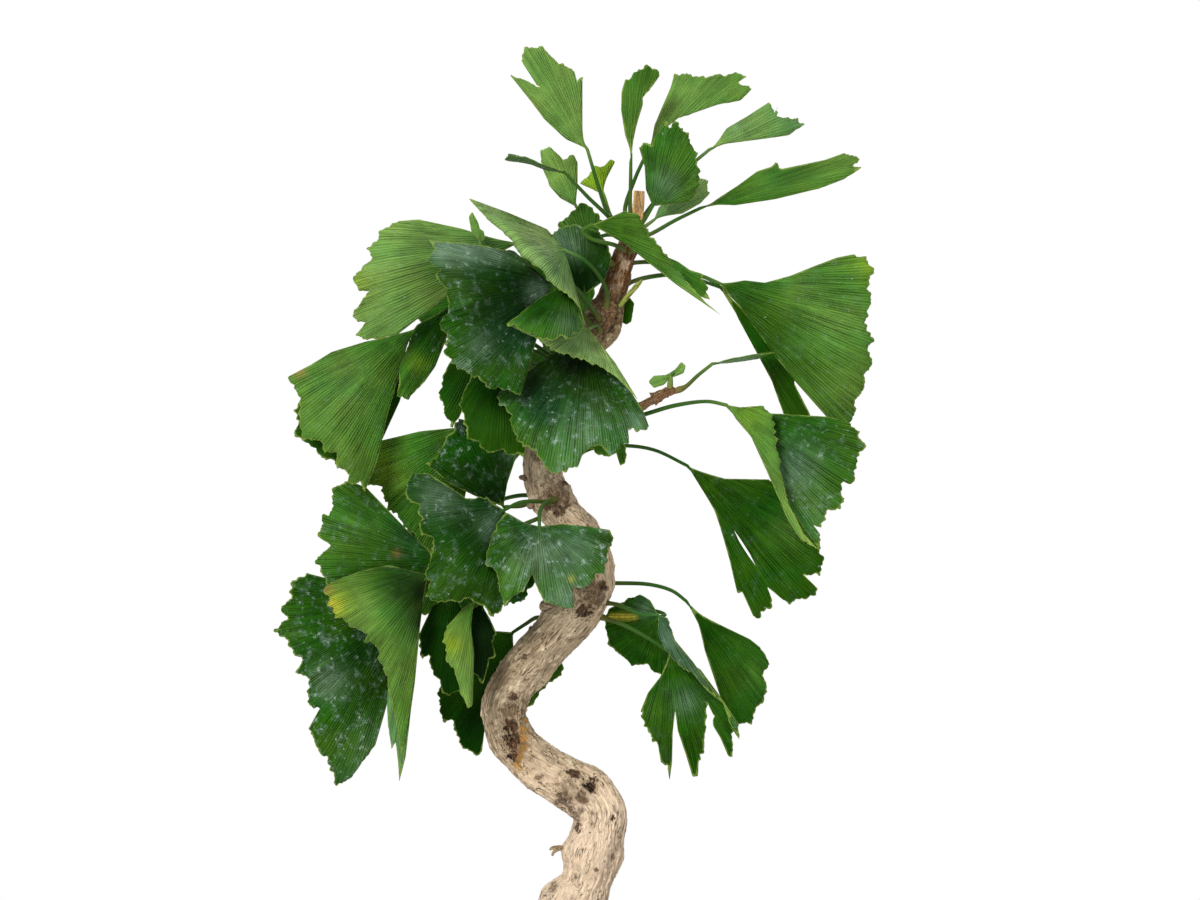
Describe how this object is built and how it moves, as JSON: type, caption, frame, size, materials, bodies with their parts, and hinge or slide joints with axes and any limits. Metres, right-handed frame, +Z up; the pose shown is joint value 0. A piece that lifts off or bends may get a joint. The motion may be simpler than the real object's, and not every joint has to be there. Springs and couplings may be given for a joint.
{
  "type": "ginkgo bonsai",
  "caption": "Small ginkgo trained as a bonsai: a bent bare trunk with fan-shaped notched leaves on long stalks, growing in soil in a plain shallow-footed pot.",
  "frame": {"origin": "centre of the pot's footprint on the surface it stands on", "axes": "+Z up along the tree, +X to the right seen from the front, +Y to the back, along the pot's short side"},
  "size_m": [0.2397, 0.1249, 0.4305],
  "materials": {
    "wood": "rough bark",
    "leaf": "satin leaf",
    "soil": "granular, matt",
    "pot": "unglazed stoneware, matt"
  },
  "bodies": {
    "root": {"pot": "pot", "soil": "soil", "trunk": "wood", "leaf_top_tall_left": "leaf", "leaf_top_edge_on": "leaf", "leaf_top_small_left": "leaf", "leaf_top_young": "leaf", "leaf_top_narrow": "leaf", "leaf_top_upright": "leaf", "leaf_top_right": "leaf", "leaf_top_front": "leaf", "leaf_top_long_right": "leaf", "leaf_top_pale_behind": "leaf", "leaf_top_drooping": "leaf", "leaf_top_under_drooping": "leaf", "leaf_neck_front": "leaf", "leaf_neck_behind": "leaf", "leaf_neck_small_right": "leaf", "leaf_upper_pale_fold": "leaf", "leaf_upper_lobe": "leaf", "leaf_upper_dark_front": "leaf", "leaf_upper_light_left": "leaf", "leaf_upper_sprout": "leaf", "leaf_upper_dark_hanging": "leaf", "leaf_upper_broad_left": "leaf", "leaf_upper_broad_behind": "leaf", "leaf_upper_front_middle": "leaf", "leaf_upper_front_fold": "leaf", "leaf_upper_under_middle": "leaf", "leaf_upper_low_left": "leaf", "leaf_upper_low_middle": "leaf", "leaf_middle_light_behind": "leaf", "leaf_middle_dark_behind": "leaf", "leaf_middle_star_left": "leaf", "leaf_middle_star_right": "leaf", "leaf_middle_broad_left": "leaf", "leaf_middle_pale_curled": "leaf", "leaf_middle_pale_behind": "leaf", "leaf_middle_dark_spotted": "leaf", "leaf_middle_flap": "leaf", "leaf_middle_flap_dark": "leaf", "leaf_middle_deep": "leaf", "leaf_middle_low": "leaf", "leaf_middle_behind_trunk": "leaf", "leaf_right_broad": "leaf", "leaf_right_broad_lobe": "leaf", "leaf_right_folded": "leaf", "leaf_right_fold": "leaf", "leaf_right_split": "leaf", "leaf_twig_tiny": "leaf", "leaf_twig_edge_on": "leaf", "leaf_low_right_single": "leaf", "leaf_low_right_lobed": "leaf", "leaf_low_right_fold": "leaf", "leaf_low_right_dark": "leaf", "leaf_back_upper_left": "leaf", "leaf_back_upper_right": "leaf", "leaf_back_top": "leaf", "leaf_back_middle_left": "leaf", "leaf_back_right": "leaf"}
  },
  "joints": []
}
